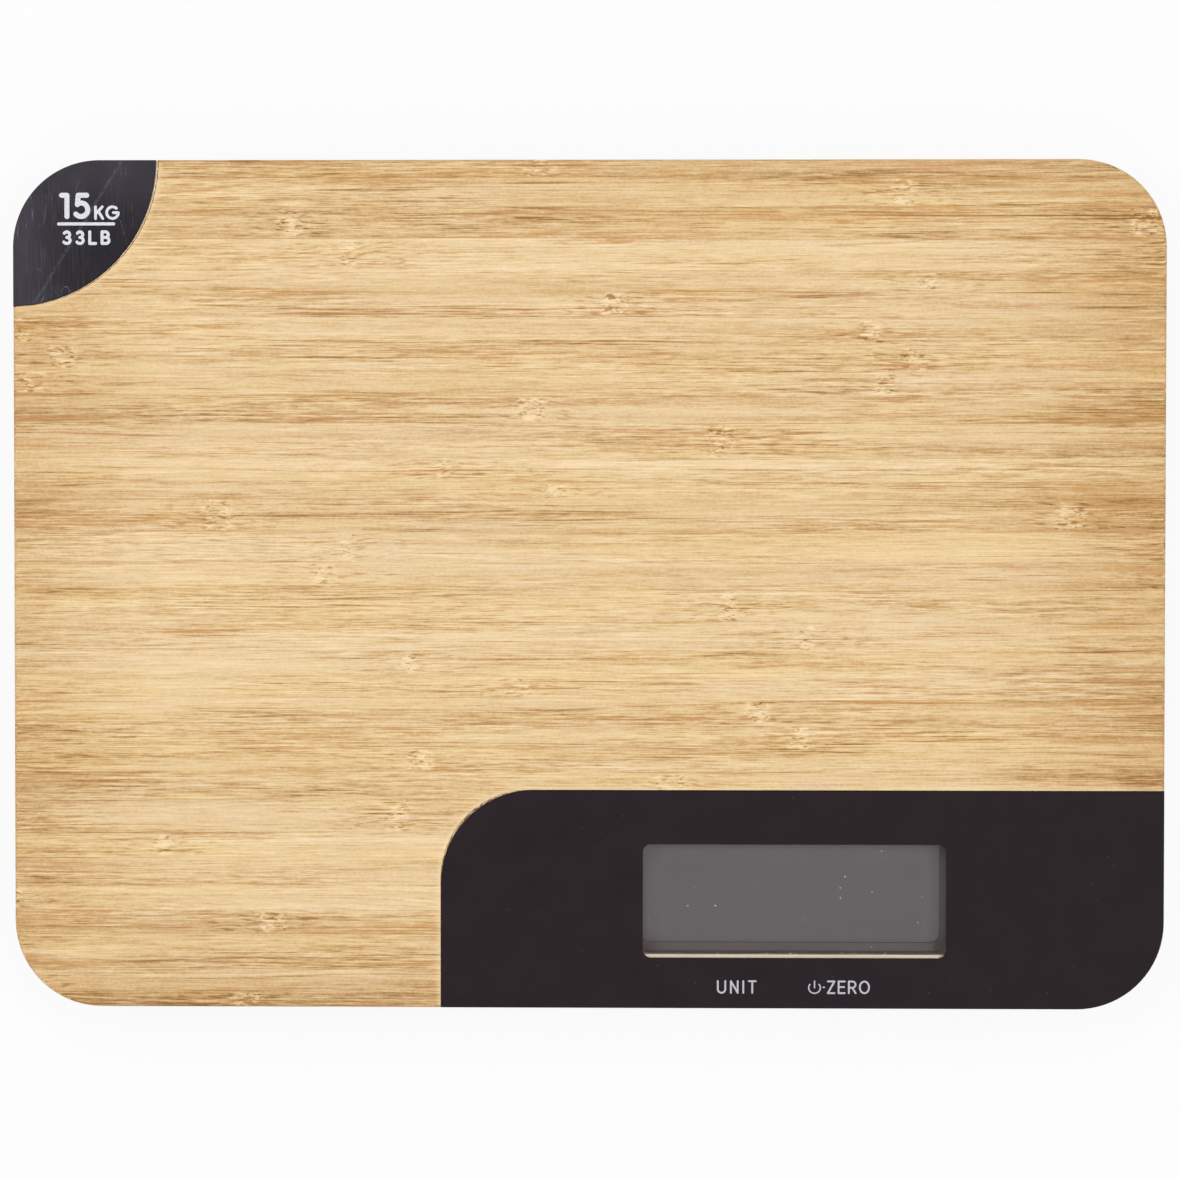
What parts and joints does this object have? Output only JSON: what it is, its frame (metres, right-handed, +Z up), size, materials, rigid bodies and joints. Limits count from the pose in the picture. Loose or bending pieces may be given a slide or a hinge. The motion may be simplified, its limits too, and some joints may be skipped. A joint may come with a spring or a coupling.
{
  "type": "kitchen scale",
  "caption": "Flat kitchen scale with a rounded bamboo platform, a black control film with a clear display window, and a black case on four sensing feet.",
  "frame": {"origin": "on the floor under the middle of the platform", "axes": "+X to the user's right along the platform's length, +Y away from the user, +Z up"},
  "size_m": [0.23, 0.1694, 0.0179],
  "materials": {
    "bamboo": "satin lacquer over laminated bamboo strips",
    "black_film": "matt black film",
    "clear_pane": "clear, satin",
    "black_case": "fine grained moulding",
    "bezel_plastic": "matt",
    "display_glass": "grey liquid crystal glass",
    "reflector": "matt foil",
    "contact_rubber": "layered conductive rubber",
    "circuit_green": "green solder mask",
    "chip_epoxy": "black epoxy",
    "component_body": "ceramic and tinned ends",
    "screw_steel": "zinc plated",
    "switch_body": "moulded",
    "key_plastic": "natural white moulding",
    "cell_steel": "stamped sheet",
    "gauge_sealant": "white silicone",
    "lead_jacket": "grey jacket",
    "lead_red": "red jacket",
    "lead_black": "black jacket",
    "coin_steel": "nickel plated",
    "contact_metal": "nickel plated spring strip",
    "foot_plastic": "moulded",
    "foot_rubber": "matt rubber",
    "adhesive": "double-sided sheet"
  },
  "bodies": {
    "scale_body": {"bamboo_platform": "bamboo", "control_panel": "black_film", "display_window": "clear_pane", "corner_badge": "black_film", "chassis": "black_case", "adhesive_sheet": "adhesive", "bottom_cover": "black_case", "cover_screws": "screw_steel", "display_bezel": "bezel_plastic", "display_cell": "display_glass", "display_reflector": "reflector", "contact_strip": "contact_rubber", "circuit_board": "circuit_green", "controller_chip": "chip_epoxy", "board_components": "component_body", "board_screws": "screw_steel", "key_switches": "switch_body", "coin_cell": "coin_steel", "battery_contact_positive": "contact_metal", "battery_contact_negative": "contact_metal", "battery_lead_positive": "lead_red", "battery_lead_negative": "lead_black", "load_cell_screws": "screw_steel", "strain_gauge_covers": "gauge_sealant", "load_cell_front_left": "cell_steel", "load_cell_lead_front_left": "lead_jacket", "foot_cup_front_left": "foot_plastic", "foot_pad_front_left": "foot_rubber", "load_cell_front_right": "cell_steel", "load_cell_lead_front_right": "lead_jacket", "foot_cup_front_right": "foot_plastic", "foot_pad_front_right": "foot_rubber", "load_cell_back_left": "cell_steel", "load_cell_lead_back_left": "lead_jacket", "foot_cup_back_left": "foot_plastic", "foot_pad_back_left": "foot_rubber", "load_cell_back_right": "cell_steel", "load_cell_lead_back_right": "lead_jacket", "foot_cup_back_right": "foot_plastic", "foot_pad_back_right": "foot_rubber"},
    "unit_key": {"unit_key_plunger": "key_plastic", "unit_switch_stem": "switch_body"},
    "zero_key": {"zero_key_plunger": "key_plastic", "zero_switch_stem": "switch_body"},
    "battery_cap": {"battery_cap": "black_case"}
  },
  "joints": [
    {"name": "unit_key_press", "type": "slide", "parent": "scale_body", "child": "unit_key", "axis": [0, 0, -1], "range_m": [0, 0.00025], "stiffness_N_per_m": 6400},
    {"name": "zero_key_press", "type": "slide", "parent": "scale_body", "child": "zero_key", "axis": [0, 0, -1], "range_m": [0, 0.00025], "stiffness_N_per_m": 6400},
    {"name": "battery_cap_turn", "type": "hinge", "parent": "scale_body", "child": "battery_cap", "pos_m": [0, 0.012, 0.003], "axis": [0, 0, -1], "range_deg": [0, 60]}
  ]
}
